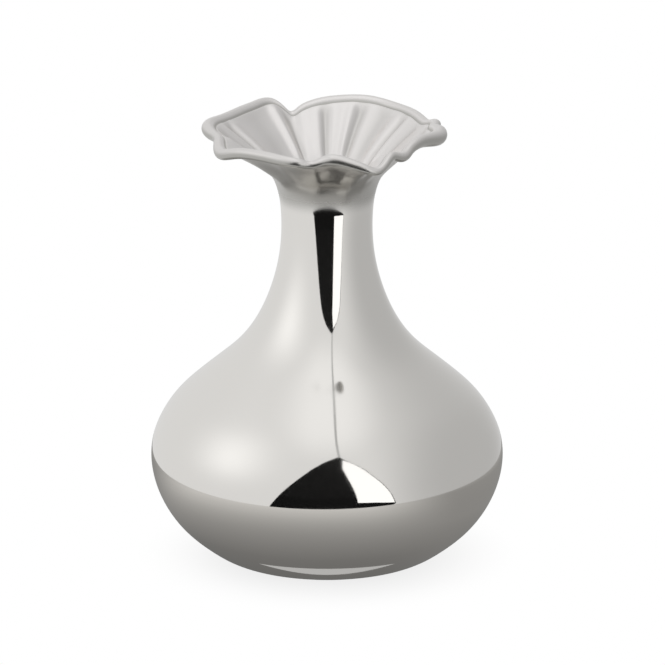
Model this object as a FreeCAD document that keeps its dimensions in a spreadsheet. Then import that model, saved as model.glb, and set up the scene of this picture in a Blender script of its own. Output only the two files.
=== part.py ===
"""Bottle vase with a ruffled trumpet mouth, in polished silver-plated sheet metal.

The body is three spun pieces that share one outer line: a lower bowl, a shoulder and a neck
tube. Each upper joint is a butt seam backed by a lap tongue, soldered and polished flush. The
mouth is a flared collar that is fluted by hand, with its edge rolled over a stiffening wire. A
slim ring under the bowl is the foot, and a felt disc inside it meets the table.

Frame: millimetres, +Z up, origin on the table at the centre of the foot, front towards -Y.
"""
import FreeCAD, Part
import Sketcher
import math
import os

doc = FreeCAD.newDocument("bottle_vase")
sheet = doc.addObject("Spreadsheet::Sheet", "sizes")

SIZES = [
    ("sheet_thickness", "1.2", "wall of every spun or rolled piece"),
    ("solder_gap", "0.05", "clearance that solder fills in a lap or round the wire"),
    ("lap_length", "8", "length of a lap tongue beyond its seam"),
    ("lap_lead", "4", "length over which a wall thickens behind a tongue"),
    ("base_height", "1.9", "underside of the bowl above the table"),
    ("base_flat_radius", "53", "radius of the bowl's flat underside"),
    ("belly_radius", "97.2", "largest radius of the body"),
    ("belly_height", "58.4", "height of the largest radius, where bowl and shoulder meet"),
    ("collar_height", "150", "height of the seam between shoulder and neck"),
    ("neck_radius", "24.95", "smallest outer radius of the neck"),
    ("neck_height", "190", "height of the smallest radius"),
    ("mouth_seam_height", "199", "height of the seam between neck and mouth"),
    ("lip_radius", "64", "mean radius of the rolled edge's centre line"),
    ("lip_height", "240.75", "mean height of the rolled edge's centre line"),
    ("ruffle_lift", "5", "height that the lift shares multiply"),
    ("roll_radius", "3.3", "radius that the roll shares multiply"),
    ("crease_depth", "1.5", "depth that the crease shares multiply"),
    ("wire_radius", "1.2", "radius of the wire inside the rolled edge"),
    ("foot_outer_radius", "50", "outer radius of the foot ring"),
    ("foot_ring_width", "4", "radial width of the foot ring"),
    ("foot_ring_height", "1.6", "height of the foot ring"),
    ("foot_ring_edge", "0.4", "rounding of the foot ring's outer lower edge"),
    ("felt_clearance", "0.3", "gap between the felt and the foot ring"),
]
for row, (alias, number, meaning) in enumerate(SIZES, start=1):
    sheet.set("A%d" % row, meaning)
    sheet.set("B%d" % row, number)
    sheet.setAlias("B%d" % row, alias)
doc.recompute()


def size(alias):
    """Give one driving dimension from the sheet."""
    return float(sheet.get(alias))


WALL = size("sheet_thickness")
GAP = size("solder_gap")
TONGUE_FACE = WALL + GAP
TONGUE_BACK = 2 * WALL + GAP

# Body line from the underside up to the belly: shares of the radius from the flat to the belly
# and of the height from the underside to the belly.
BOWL_LINE_SHARES = [(0, 0), (0.124, 0.023), (0.385, 0.145), (0.64, 0.32), (0.849, 0.55), (0.964, 0.78),
                    (1, 1)]
# Body line from the belly up to the neck: shares of the radius from the neck to the belly and of
# the height from the belly to the neck.
NECK_LINE_SHARES = [(0.98, 0.081), (0.916, 0.164), (0.82, 0.24), (0.6775, 0.316), (0.5125, 0.392),
                    (0.354, 0.468), (0.2385, 0.544), (0.157, 0.62), (0.073, 0.734), (0.0215, 0.848),
                    (0, 1)]
# The line runs on for one lap past the mouth's seam, and is this much wider there: share of the
# radius from the neck to the belly.
LINE_END_SHARE = 0.0195


def body_stations():
    """List the points (radius, 0, height) that the body's outer line passes through."""
    flat, belly, neck = size("base_flat_radius"), size("belly_radius"), size("neck_radius")
    base, middle, top = size("base_height"), size("belly_height"), size("neck_height")
    points = [(flat + (belly - flat) * out, base + (middle - base) * up)
              for out, up in BOWL_LINE_SHARES]
    points += [(neck + (belly - neck) * out, middle + (top - middle) * up)
               for out, up in NECK_LINE_SHARES]
    end = max(top, size("mouth_seam_height")) + size("lap_length")
    points.append((neck + (belly - neck) * LINE_END_SHARE, end))
    return [FreeCAD.Vector(radius, 0, height) for radius, height in points]


def chord_parameters(points):
    """Give each point's distance along the chords that join the points."""
    distances = [0.0]
    for here, there in zip(points, points[1:]):
        distances.append(distances[-1] + here.distanceToPoint(there))
    return distances


BODY_POINTS = body_stations()
BODY_LINE = Part.BSplineCurve()
BODY_LINE.interpolate(Points=BODY_POINTS, Parameters=chord_parameters(BODY_POINTS))


HALVINGS = 60


def place_at_height(height):
    """Give the body line's parameter at a height, by halving: the line rises all the way."""
    low, high = BODY_LINE.FirstParameter, BODY_LINE.LastParameter
    for _ in range(HALVINGS):
        middle = (low + high) / 2
        if BODY_LINE.value(middle).z < height:
            low = middle
        else:
            high = middle
    return (low + high) / 2


def inside(place, depth):
    """Give the point at a depth inside the body line, square to it."""
    point = BODY_LINE.value(place)
    along = BODY_LINE.tangent(place)[0]
    return FreeCAD.Vector(point.x - depth * along.z, 0, point.z + depth * along.x)


def inside_line(start, end, depth, count):
    """Give one smooth edge at a depth inside the body line, between two places on it."""
    places = [start + (end - start) * step / count for step in range(count + 1)]
    points = [inside(place, depth) for place in places]
    curve = Part.BSplineCurve()
    curve.interpolate(Points=points, Parameters=chord_parameters(points))
    return curve.toShape()


FULL_TURN = 360


def spun(edges):
    """Turn a closed outline in the XZ plane about the axis into a solid."""
    face = Part.Face(Part.Wire(Part.__sortEdges__(edges)))
    solid = face.revolve(FreeCAD.Vector(0, 0, 0), FreeCAD.Vector(0, 0, 1), FULL_TURN)
    return solid if solid.ShapeType == "Solid" else solid.Solids[0]


def straight(start, end):
    """Give the straight edge between two points."""
    return Part.LineSegment(start, end).toShape()


def add_shape(name, shape):
    """Put a finished shape into the document as one sub-part."""
    piece = doc.addObject("Part::Feature", name)
    piece.Label = name
    piece.Shape = shape
    piece.Placement = FreeCAD.Placement()
    return piece


SEAM = place_at_height(size("belly_height"))
COLLAR = place_at_height(size("collar_height"))
MOUTH_SEAM = place_at_height(size("mouth_seam_height"))
LAP = size("lap_length")
LEAD = size("lap_lead")
LINE_STEPS = 24


def lower_bowl():
    """Spin the bowl: flat underside, belly wall, and a tongue that rises inside the shoulder."""
    start = BODY_LINE.FirstParameter
    tongue_top = SEAM + LAP
    step_start = SEAM - LEAD
    step_end = SEAM - LEAD / 2
    centre_low = FreeCAD.Vector(0, 0, size("base_height"))
    centre_high = FreeCAD.Vector(0, 0, size("base_height") + WALL)
    return spun([
        straight(centre_low, inside(start, 0)),
        inside_line(start, SEAM, 0, LINE_STEPS),
        straight(inside(SEAM, 0), inside(SEAM, TONGUE_FACE)),
        inside_line(SEAM, tongue_top, TONGUE_FACE, LINE_STEPS),
        straight(inside(tongue_top, TONGUE_FACE), inside(tongue_top, TONGUE_BACK)),
        inside_line(step_end, tongue_top, TONGUE_BACK, LINE_STEPS),
        straight(inside(step_end, TONGUE_BACK), inside(step_start, WALL)),
        inside_line(start, step_start, WALL, LINE_STEPS),
        straight(inside(start, WALL), centre_high),
        straight(centre_high, centre_low),
    ])


def shoulder_shell():
    """Spin the shoulder: a plain wall from the bowl's seam to the neck's seam."""
    return spun([
        inside_line(SEAM, COLLAR, 0, LINE_STEPS),
        straight(inside(COLLAR, 0), inside(COLLAR, WALL)),
        inside_line(SEAM, COLLAR, WALL, LINE_STEPS),
        straight(inside(SEAM, WALL), inside(SEAM, 0)),
    ])


def neck_tube():
    """Spin the neck: a waisted tube whose tongue drops inside the shoulder's collar."""
    tongue_end = COLLAR - LAP
    step_start = COLLAR + LEAD / 2
    step_end = COLLAR + LEAD
    return spun([
        inside_line(COLLAR, MOUTH_SEAM, 0, LINE_STEPS),
        straight(inside(MOUTH_SEAM, 0), inside(MOUTH_SEAM, WALL)),
        inside_line(step_end, MOUTH_SEAM, WALL, LINE_STEPS),
        straight(inside(step_end, WALL), inside(step_start, TONGUE_BACK)),
        inside_line(tongue_end, step_start, TONGUE_BACK, LINE_STEPS),
        straight(inside(tongue_end, TONGUE_BACK), inside(tongue_end, TONGUE_FACE)),
        inside_line(tongue_end, COLLAR, TONGUE_FACE, LINE_STEPS),
        straight(inside(COLLAR, TONGUE_FACE), inside(COLLAR, 0)),
    ])


# The lip's course: azimuth from the front towards +X in degrees, share of the lip radius, share
# of the ruffle lift, share of the roll radius. Read from the photograph at the front and sides,
# and from the far rim at the back.
LIP_SHARES = [
    (2, 1.031, 0.06, 1), (9, 1.056, -0.16, 0.97), (14, 1.094, -0.48, 0.88), (18, 1.128, -0.8, 0.76),
    (21, 1.141, -1, 0.67), (24, 1.116, -0.8, 0.64), (28, 1.059, -0.28, 0.67), (32, 1.016, -0.04, 0.73),
    (36, 0.994, -0.24, 0.79), (40, 0.975, -0.48, 0.82), (46, 0.931, -0.2, 0.85), (53, 0.906, 0.12, 0.91),
    (63, 0.894, 0.12, 1.06), (72, 0.922, -0.06, 1.21), (80, 0.95, -0.12, 1.27), (86, 0.938, 0.04, 1.15),
    (93, 0.903, 0.06, 0.94), (99, 0.928, 0.24, 0.85), (104, 0.922, 0.08, 0.82), (110, 0.916, -0.24, 0.79),
    (121, 0.931, -0.24, 0.85), (134, 0.984, -0.12, 0.91), (144, 1.031, -0.08, 0.94), (152, 1.053, 0.08, 0.97),
    (160, 1.044, 0.28, 1), (168, 1.013, 0.32, 1), (176, 0.978, 0.22, 1.03), (184, 0.956, 0, 1.06),
    (191, 0.944, -0.36, 1.03), (196.5, 0.925, -0.8, 0.94), (200, 0.931, -1.04, 0.88),
    (203, 0.966, -0.44, 0.88),
    (206.5, 1.019, 0.16, 0.91), (211, 1.038, 0.34, 0.94), (218, 1.009, 0.22, 0.97), (227, 0.981, 0.08, 1),
    (238, 0.967, -0.04, 1), (249, 0.978, -0.04, 1.03), (258, 1.003, 0.04, 1.09), (266, 1.005, -0.02, 1.09),
    (273, 0.975, -0.16, 0.97), (280, 0.944, -0.2, 0.85), (288, 0.953, -0.24, 0.85), (295, 0.994, -0.48, 0.94),
    (301, 1.034, -0.72, 1), (307, 1.056, -0.52, 0.94), (315, 1.053, -0.08, 0.91), (325, 1.044, 0.1, 0.91),
    (334, 1.053, 0.04, 0.91), (342, 1.069, -0.1, 0.88), (349, 1.059, -0.3, 0.76), (353, 1.034, -0.44, 0.67),
    (357, 1.028, -0.16, 0.85),
]
# Hand-pressed flutes inside the mouth: azimuth in degrees, share of the crease depth (upward is a
# ridge, downward a valley), and half width in degrees.
CREASE_SHARES = [
    (12, -0.55, 5), (30, 1.2, 4), (77, 0.55, 5), (93, -0.7, 4), (115, -0.8, 4), (126, 0.8, 4),
    (131.5, -0.95, 4), (138, 0.55, 4), (148, -0.6, 6), (161.3, -1.05, 4), (166, 0.6, 4), (175, 0.35, 4),
    (181, -1, 4), (188, 0.35, 4), (203.5, -1, 4), (209.5, 1, 4), (226, -0.3, 8), (247, 0.7, 4),
    (251.5, -0.95, 4), (257, 0.4, 4), (265, -0.8, 4), (281, 0.95, 5), (305, -0.55, 5), (330, -0.55, 6),
    (353, 0.8, 4),
]
# Inner line of the mouth from its seam to the roll: place along the wall, share of the growth in
# radius, share of the rise.
FLARE_SHARES = [
    (0, 0, 0), (0.084, 0.018, 0.112), (0.168, 0.055, 0.22), (0.293, 0.142, 0.375),
    (0.411, 0.252, 0.485), (0.518, 0.365, 0.572), (0.671, 0.545, 0.703), (0.819, 0.75, 0.835),
    (1, 1, 1),
]
LIP_SLOPE = math.radians(26)
RIM_STEPS = 120
WALL_STEPS = 14
ROLL_STEPS = 12
BORE_STEPS = 8
# Along the wall: where the flutes begin and reach full depth, and where they start to fade and end.
CREASE_GROWTH_SHARES = (0.3, 0.72)
CREASE_FADE_SHARES = (0.74, 0.96)
# How strongly each station's own reach and lift are kept to the upper part of the wall.
REACH_POWER = 2
LIFT_POWER = 2.4
# Along the wall: where the thick collar at the seam begins to thin, and where it is one sheet.
THINNING_SHARES = (0.04, 0.36)
# Steps, in degrees and as a share of the wall, over which a slope is measured.
AZIMUTH_STEP = 0.5
PLACE_STEP_SHARE = 0.01


def lip_curve():
    """Give the closed smooth curve whose value at an azimuth is (reach, lift, roll radius)."""
    points = [FreeCAD.Vector(size("lip_radius") * reach, size("ruffle_lift") * lift,
                             size("roll_radius") * roll)
              for _, reach, lift, roll in LIP_SHARES]
    azimuths = [azimuth for azimuth, _, _, _ in LIP_SHARES]
    curve = Part.BSplineCurve()
    curve.interpolate(Points=points, PeriodicFlag=True, Parameters=azimuths + [azimuths[0] + FULL_TURN])
    return curve


def flare_curve():
    """Give the smooth curve whose value at a place along the wall is (growth, rise)."""
    curve = Part.BSplineCurve()
    curve.interpolate(Points=[FreeCAD.Vector(growth, rise, 0) for _, growth, rise in FLARE_SHARES],
                      Parameters=[place for place, _, _ in FLARE_SHARES])
    return curve


LIP = lip_curve()
FLARE = flare_curve()
AZIMUTHS = [FULL_TURN * step / RIM_STEPS for step in range(RIM_STEPS)]


def lip_at(azimuth):
    """Give reach, lift and roll radius of the rolled edge at an azimuth."""
    first = LIP.FirstParameter
    return LIP.value((azimuth - first) % FULL_TURN + first)


def around(radius, height, azimuth):
    """Give the point at a radius, height and azimuth, which turns from -Y towards +X."""
    angle = math.radians(azimuth)
    return FreeCAD.Vector(radius * math.sin(angle), -radius * math.cos(angle), height)


def ramp(place, limits):
    """Climb smoothly from 0 to 1 between two limits."""
    share = min(max((place - limits[0]) / (limits[1] - limits[0]), 0), 1)
    return share * share * (3 - 2 * share)


def crease_lift(azimuth, place):
    """Sum the flutes at a place: bell-shaped across, and fading towards the throat and the roll."""
    total = 0
    for centre, share, width in CREASE_SHARES:
        away = (azimuth - centre + FULL_TURN / 2) % FULL_TURN - FULL_TURN / 2
        total += share * math.exp(-(away / width) ** 2)
    fading = ramp(place, CREASE_GROWTH_SHARES) * (1 - ramp(place, CREASE_FADE_SHARES))
    return size("crease_depth") * total * fading


def mouth_point(azimuth, place, with_creases=True):
    """Give a point of the mouth's inner face: azimuth round it, place 0 at the seam and 1 on the roll."""
    reach, lift, roll = lip_at(azimuth)
    low = inside(MOUTH_SEAM, TONGUE_BACK)
    mean_radius = size("lip_radius") - size("roll_radius") * math.sin(LIP_SLOPE)
    mean_height = size("lip_height") + size("roll_radius") * math.cos(LIP_SLOPE)
    top_radius = reach - roll * math.sin(LIP_SLOPE)
    top_height = size("lip_height") + lift + roll * math.cos(LIP_SLOPE)
    growth, rise, _ = FLARE.value(place)
    radius = low.x + (mean_radius - low.x) * growth + (top_radius - mean_radius) * place ** REACH_POWER
    height = low.z + (mean_height - low.z) * rise + (top_height - mean_height) * place ** LIFT_POWER
    if with_creases:
        height += crease_lift(azimuth, place)
    return around(radius, height, azimuth)


def mouth_normal(azimuth, place, with_creases=True):
    """Give the inner face's unit normal, which points up and into the mouth."""
    low = max(place - PLACE_STEP_SHARE, 0)
    high = min(place + PLACE_STEP_SHARE, 1)
    across = (mouth_point(azimuth + AZIMUTH_STEP, place, with_creases)
              - mouth_point(azimuth - AZIMUTH_STEP, place, with_creases))
    along = mouth_point(azimuth, high, with_creases) - mouth_point(azimuth, low, with_creases)
    return along.cross(across).normalize()


def wall_depth(place):
    """Give the wall's thickness at a place: the full collar at the seam, one sheet further up."""
    return TONGUE_BACK + (WALL - TONGUE_BACK) * ramp(place, THINNING_SHARES)


def roll_frame(azimuth):
    """Give the roll's centre, its outward direction, its upward direction and its radius."""
    up = mouth_normal(azimuth, 1, False)
    top = mouth_point(azimuth, 1, False)
    climb = top - mouth_point(azimuth, 1 - PLACE_STEP_SHARE, False)
    out = (climb - up * climb.dot(up)).normalize()
    radius = lip_at(azimuth).z
    return top - up * radius, out, up, radius


def roll_point(azimuth, angle, radius=None):
    """Give a point round the roll: angle from the outward direction towards the upward one."""
    centre, out, up, own_radius = roll_frame(azimuth)
    radius = own_radius if radius is None else radius
    return centre + out * (radius * math.cos(angle)) + up * (radius * math.sin(angle))


def tuck_angle(azimuth):
    """Give the angle at which the roll's edge meets the underside of the wall again."""
    radius = lip_at(azimuth).z
    return -math.pi - math.asin((radius - WALL) / radius)


def ring(function):
    """Make the row of points that a function of azimuth gives all round."""
    return [function(azimuth) for azimuth in AZIMUTHS]


def circle(place, depth):
    """Make the row of points at a depth inside the body line, all round."""
    point = inside(place, depth)
    return ring(lambda azimuth: around(point.x, point.z, azimuth))


def ring_curve(row):
    """Give the closed smooth curve through a row."""
    curve = Part.BSplineCurve()
    curve.interpolate(Points=row, PeriodicFlag=True, Parameters=list(range(RIM_STEPS + 1)))
    return curve


def row_parameters(rows):
    """Give each row's mean distance from the first, along the chords."""
    distances = [0.0]
    for here, there in zip(rows, rows[1:]):
        gap = sum(one.distanceToPoint(other) for one, other in zip(here, there)) / len(here)
        distances.append(distances[-1] + gap)
    return distances


def skin(rows):
    """Give one smooth face through rows of points: closed round the axis, open from row to row."""
    curves = [ring_curve(row) for row in rows]
    nets = [curve.getPoles() for curve in curves]
    places = row_parameters(rows)
    columns = []
    for index in range(len(nets[0])):
        column = Part.BSplineCurve()
        column.interpolate(Points=[net[index] for net in nets], Parameters=places)
        columns.append(column)
    surface = Part.BSplineSurface()
    surface.buildFromPolesMultsKnots(
        [column.getPoles() for column in columns],
        curves[0].getMultiplicities(), columns[0].getMultiplicities(),
        curves[0].getKnots(), columns[0].getKnots(), True, False,
        curves[0].Degree, columns[0].Degree)
    return surface.toShape()


def band(low_row, high_row):
    """Give the straight-sided face between two rows."""
    return Part.makeRuledSurface(ring_curve(low_row).toShape(), ring_curve(high_row).toShape())


def closed(faces):
    """Sew faces that share their edges into one solid."""
    shell = Part.makeShell(faces)
    shell.sewShape()
    solid = Part.Solid(shell)
    solid.fix(GAP / 100, GAP / 100, GAP / 100)
    return solid


def tube_round_lip(radius):
    """Make the closed tube of one radius along the roll's centre line."""
    def half(start):
        rows = []
        for step in range(BORE_STEPS + 1):
            angle = start + math.pi * step / BORE_STEPS
            rows.append(ring(lambda azimuth: roll_point(azimuth, angle, radius)))
        return skin(rows)
    return closed([half(0), half(math.pi)])


def ruffled_mouth():
    """Form the mouth: spigot, flared wall, rolled edge, and the bore that holds the wire."""
    spigot_end = MOUTH_SEAM - LAP
    spigot_middle = MOUTH_SEAM - LAP / 2
    places = [step / WALL_STEPS for step in range(WALL_STEPS + 1)]
    inner = [circle(place, TONGUE_BACK) for place in (spigot_end, spigot_middle, MOUTH_SEAM)]
    inner += [ring(lambda azimuth: mouth_point(azimuth, place)) for place in places[1:]]
    for step in range(1, ROLL_STEPS + 1):
        share = step / ROLL_STEPS
        inner.append(ring(lambda azimuth: roll_point(
            azimuth, math.pi / 2 + (tuck_angle(azimuth) - math.pi / 2) * share)))
    under = [circle(MOUTH_SEAM, 0)]
    for place in places[1:-1]:
        under.append(ring(lambda azimuth: mouth_point(azimuth, place)
                          - mouth_normal(azimuth, place) * wall_depth(place)))
    under.append(inner[-1])
    spigot_outer = [circle(place, TONGUE_FACE) for place in (spigot_end, spigot_middle, MOUTH_SEAM)]
    formed = closed([
        skin(inner),
        skin(under),
        band(circle(MOUTH_SEAM, TONGUE_FACE), circle(MOUTH_SEAM, 0)),
        skin(spigot_outer),
        band(circle(spigot_end, TONGUE_BACK), circle(spigot_end, TONGUE_FACE)),
    ])
    return formed.cut(tube_round_lip(size("wire_radius") + GAP)).Solids[0]


def body_with_sketch(name, plane_role):
    """Start a sub-part as a body with one sketch on one of its own origin planes."""
    body = doc.addObject("PartDesign::Body", name)
    body.Label = name
    plane = next(item for item in body.Origin.OriginFeatures if item.Role == plane_role)
    sketch = body.newObject("Sketcher::SketchObject", name + "_outline")
    sketch.AttachmentSupport = [(plane, "")]
    sketch.MapMode = "FlatFace"
    return body, sketch


def bind(sketch, constraint, alias, formula):
    """Add a named sketch dimension and tie it to the sheet."""
    index = sketch.addConstraint(constraint)
    sketch.renameConstraint(index, alias)
    sketch.setExpression("Constraints." + alias, formula)


def foot_ring():
    """Turn the foot ring: a flat ring under the bowl with its outer lower edge rounded."""
    body, sketch = body_with_sketch("foot_ring", "XZ_Plane")
    outer = size("foot_outer_radius")
    inner = outer - size("foot_ring_width")
    high = size("base_height")
    low = high - size("foot_ring_height")
    corners = [FreeCAD.Vector(inner, low, 0), FreeCAD.Vector(outer, low, 0),
               FreeCAD.Vector(outer, high, 0), FreeCAD.Vector(inner, high, 0)]
    for corner, following in zip(corners, corners[1:] + corners[:1]):
        sketch.addGeometry(Part.LineSegment(corner, following), False)
    for side in range(4):
        sketch.addConstraint(Sketcher.Constraint("Coincident", side, 2, (side + 1) % 4, 1))
    for side in (0, 2):
        sketch.addConstraint(Sketcher.Constraint("Horizontal", side))
    for side in (1, 3):
        sketch.addConstraint(Sketcher.Constraint("Vertical", side))
    bind(sketch, Sketcher.Constraint("DistanceX", -1, 1, 0, 2, outer), "outer_radius",
         "sizes.foot_outer_radius")
    bind(sketch, Sketcher.Constraint("DistanceX", 0, 1, 0, 2, outer - inner), "ring_width",
         "sizes.foot_ring_width")
    bind(sketch, Sketcher.Constraint("DistanceY", -1, 1, 1, 2, high), "top_height", "sizes.base_height")
    bind(sketch, Sketcher.Constraint("DistanceY", 1, 1, 1, 2, high - low), "ring_height",
         "sizes.foot_ring_height")
    turned = body.newObject("PartDesign::Revolution", "foot_ring_turned")
    turned.Profile = sketch
    turned.ReferenceAxis = (sketch, ["V_Axis"])
    turned.Angle = FULL_TURN
    doc.recompute()
    rounded = body.newObject("PartDesign::Fillet", "foot_ring_rounded")
    rounded.Base = (turned, [lowest_outer_edge(turned.Shape)])
    rounded.setExpression("Radius", "sizes.foot_ring_edge")
    return body


def lowest_outer_edge(shape):
    """Name the edge that runs round the outer lower corner of a turned shape."""
    def rank(numbered):
        box = numbered[1].BoundBox
        return (box.ZMax, -box.XLength)
    number, _ = min(enumerate(shape.Edges, start=1), key=rank)
    return "Edge%d" % number


def felt_pad():
    """Cut the felt disc, which fills the foot ring and stands on the table."""
    body, sketch = body_with_sketch("felt_pad", "XY_Plane")
    radius = size("foot_outer_radius") - size("foot_ring_width") - size("felt_clearance")
    disc = Part.Circle(FreeCAD.Vector(0, 0, 0), FreeCAD.Vector(0, 0, 1), radius)
    sketch.addGeometry(disc, False)
    sketch.addConstraint(Sketcher.Constraint("Coincident", 0, 3, -1, 1))
    bind(sketch, Sketcher.Constraint("Radius", 0, radius), "disc_radius",
         "sizes.foot_outer_radius - sizes.foot_ring_width - sizes.felt_clearance")
    pad = body.newObject("PartDesign::Pad", "felt_pad_thickness")
    pad.Profile = sketch
    pad.setExpression("Length", "sizes.base_height")
    return body


sub_parts = [
    felt_pad(),
    foot_ring(),
    add_shape("lower_bowl", lower_bowl()),
    add_shape("shoulder_shell", shoulder_shell()),
    add_shape("neck_tube", neck_tube()),
    add_shape("ruffled_mouth", ruffled_mouth()),
    add_shape("rim_wire", tube_round_lip(size("wire_radius"))),
]
doc.recompute()

for item in doc.Objects:
    if "Invalid" in item.State or "Error" in item.State:
        raise RuntimeError("%s did not compute" % item.Label)
for piece in sub_parts:
    if piece.Shape.isNull() or not piece.Shape.isValid():
        raise RuntimeError("%s has no valid shape" % piece.Label)
    if len(piece.Shape.Solids) != 1:
        raise RuntimeError("%s isn't one solid" % piece.Label)

os.makedirs("parts", exist_ok=True)
for piece in sub_parts:
    piece.Shape.exportStep("parts/%s.step" % piece.Label)
    box = piece.Shape.BoundBox
    print("%-16s %9.1f mm3  z %6.2f to %6.2f  widest %.1f"
          % (piece.Label, piece.Shape.Volume, box.ZMin, box.ZMax, max(box.XLength, box.YLength)))
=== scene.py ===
"""Looks of a bottle vase with a ruffled trumpet mouth, in mirror-polished silver plate.

The sections follow the vase as it is put together: bowl, shoulder, neck, mouth, rim wire, foot
ring and felt. Then come the table, the light tent and the camera. Everything is in metres, in
the part's own frame: +Z up, origin on the table under the axis, front towards -Y.
"""
import math

import bpy
import numpy as np
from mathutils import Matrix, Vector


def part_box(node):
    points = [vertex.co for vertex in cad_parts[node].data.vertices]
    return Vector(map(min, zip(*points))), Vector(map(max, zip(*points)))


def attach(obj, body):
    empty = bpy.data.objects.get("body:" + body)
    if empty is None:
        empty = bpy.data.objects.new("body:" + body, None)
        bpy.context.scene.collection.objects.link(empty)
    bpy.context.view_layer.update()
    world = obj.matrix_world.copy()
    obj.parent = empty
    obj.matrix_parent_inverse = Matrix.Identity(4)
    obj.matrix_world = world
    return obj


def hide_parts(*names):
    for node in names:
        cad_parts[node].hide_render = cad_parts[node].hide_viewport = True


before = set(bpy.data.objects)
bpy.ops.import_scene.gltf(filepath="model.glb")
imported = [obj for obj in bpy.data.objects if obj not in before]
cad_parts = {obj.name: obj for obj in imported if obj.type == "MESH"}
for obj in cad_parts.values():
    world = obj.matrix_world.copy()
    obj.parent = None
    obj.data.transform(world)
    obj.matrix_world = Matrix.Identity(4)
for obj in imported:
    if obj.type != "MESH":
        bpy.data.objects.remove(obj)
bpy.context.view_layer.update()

# Lower bowl. One disc of brass sheet, spun into the lower half of the belly with a flat underside,
# silver-plated and mirror-polished. A narrow tongue at the girth rises inside the shoulder, where
# solder holds it.
MM = 0.001
SHEET = 1.2 * MM
SOLDER_GAP = 0.05 * MM
TONGUE_FACE = SHEET + SOLDER_GAP
TONGUE_BACK = 2 * SHEET + SOLDER_GAP
LAP_LENGTH = 8 * MM
LAP_LEAD = 4 * MM
BASE_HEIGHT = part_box("lower_bowl")[0].z
BASE_FLAT_RADIUS = 53 * MM
BELLY_RADIUS = 97.2 * MM
BELLY_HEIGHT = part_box("shoulder_shell")[0].z
COLLAR_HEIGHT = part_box("shoulder_shell")[1].z
NECK_RADIUS = 24.95 * MM
NECK_HEIGHT = 190 * MM
MOUTH_SEAM_HEIGHT = 199 * MM
TURN_STEPS = 360
FLAT_STEPS = 12
# A run's rough step along the body line and its fewest steps. Then the small step that measures the
# line's slope, and the number of samples when a height is looked up.
RUN_STEP, FEWEST_STEPS = 1.2 * MM, 2
LINE_STEP, LINE_SAMPLES = 0.2 * MM, 6001
AXIS_REACH = 0.002 * MM
# Shares of the radius from the flat to the belly, and of the height from the base to the belly.
BOWL_LINE_SHARES = np.array([(0, 0), (0.124, 0.023), (0.385, 0.145), (0.64, 0.32), (0.849, 0.55),
                             (0.964, 0.78), (1, 1)])
# Shares of the radius from the neck to the belly, and of the height from the belly to the neck.
NECK_LINE_SHARES = np.array([(0.98, 0.081), (0.916, 0.164), (0.82, 0.24), (0.6775, 0.316),
                             (0.5125, 0.392), (0.354, 0.468), (0.2385, 0.544), (0.157, 0.62),
                             (0.073, 0.734), (0.0215, 0.848), (0, 1)])
LINE_END_SHARE = 0.0195


def smooth_through(stations, values):
    """Give the function that runs smoothly through values at rising stations.

    Between two stations it is a cubic. Its bend is the same from both sides of each station, and
    the first and last stretches keep the bend that they meet.
    """
    stations = np.asarray(stations, float)
    values = np.asarray(values, float).reshape(len(stations), -1)
    gaps = np.diff(stations)
    system = np.eye(len(stations))
    system[0, 1] = system[-1, -2] = -1
    inner = np.arange(1, len(stations) - 1)
    system[inner, inner - 1] = gaps[:-1]
    system[inner, inner] = 2 * (gaps[:-1] + gaps[1:])
    system[inner, inner + 1] = gaps[1:]
    slopes = np.diff(values, axis=0) / gaps[:, None]
    right = np.zeros_like(values)
    right[1:-1] = 6 * np.diff(slopes, axis=0)
    bends = np.linalg.solve(system, right)

    def along(place):
        place = np.asarray(place, float)
        left = np.clip(np.searchsorted(stations, place) - 1, 0, len(gaps) - 1)
        gap = gaps[left][..., None]
        before = (place - stations[left])[..., None]
        after = gap - before
        curved = (bends[left] * after ** 3 + bends[left + 1] * before ** 3) / (6 * gap)
        from_left = (values[left] / gap - bends[left] * gap / 6) * after
        from_right = (values[left + 1] / gap - bends[left + 1] * gap / 6) * before
        return curved + from_left + from_right
    return along


def body_line():
    """Give the outer line of the whole body: (radius, height) at a distance along its chords."""
    bowl_span = np.array([BELLY_RADIUS - BASE_FLAT_RADIUS, BELLY_HEIGHT - BASE_HEIGHT])
    neck_span = np.array([BELLY_RADIUS - NECK_RADIUS, NECK_HEIGHT - BELLY_HEIGHT])
    bowl = np.array([BASE_FLAT_RADIUS, BASE_HEIGHT]) + BOWL_LINE_SHARES * bowl_span
    neck = np.array([NECK_RADIUS, BELLY_HEIGHT]) + NECK_LINE_SHARES * neck_span
    end = [NECK_RADIUS + neck_span[0] * LINE_END_SHARE, MOUTH_SEAM_HEIGHT + LAP_LENGTH]
    points = np.concatenate([bowl, neck, [end]])
    chords = np.linalg.norm(np.diff(points, axis=0), axis=1)
    distances = np.concatenate([[0], np.cumsum(chords)])
    return smooth_through(distances, points), distances[-1]


BODY_LINE, LINE_END = body_line()


def place_at_height(height):
    """Give the distance along the body line at which it passes a height."""
    places = np.linspace(0, LINE_END, LINE_SAMPLES)
    return float(np.interp(height, BODY_LINE(places)[:, 1], places))


def wall_run(start, end, depth):
    """Follow the body line at a depth inside it: point minus depth times outward direction."""
    steps = max(int(abs(end - start) / RUN_STEP), FEWEST_STEPS)
    places = np.linspace(start, end, steps + 1)
    climb = BODY_LINE(places + LINE_STEP) - BODY_LINE(places - LINE_STEP)
    climb /= np.linalg.norm(climb, axis=1, keepdims=True)
    outward = np.stack([climb[:, 1], -climb[:, 0]], axis=1)
    points = BODY_LINE(places) - depth * outward
    return points, (outward if end > start else -outward)


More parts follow.
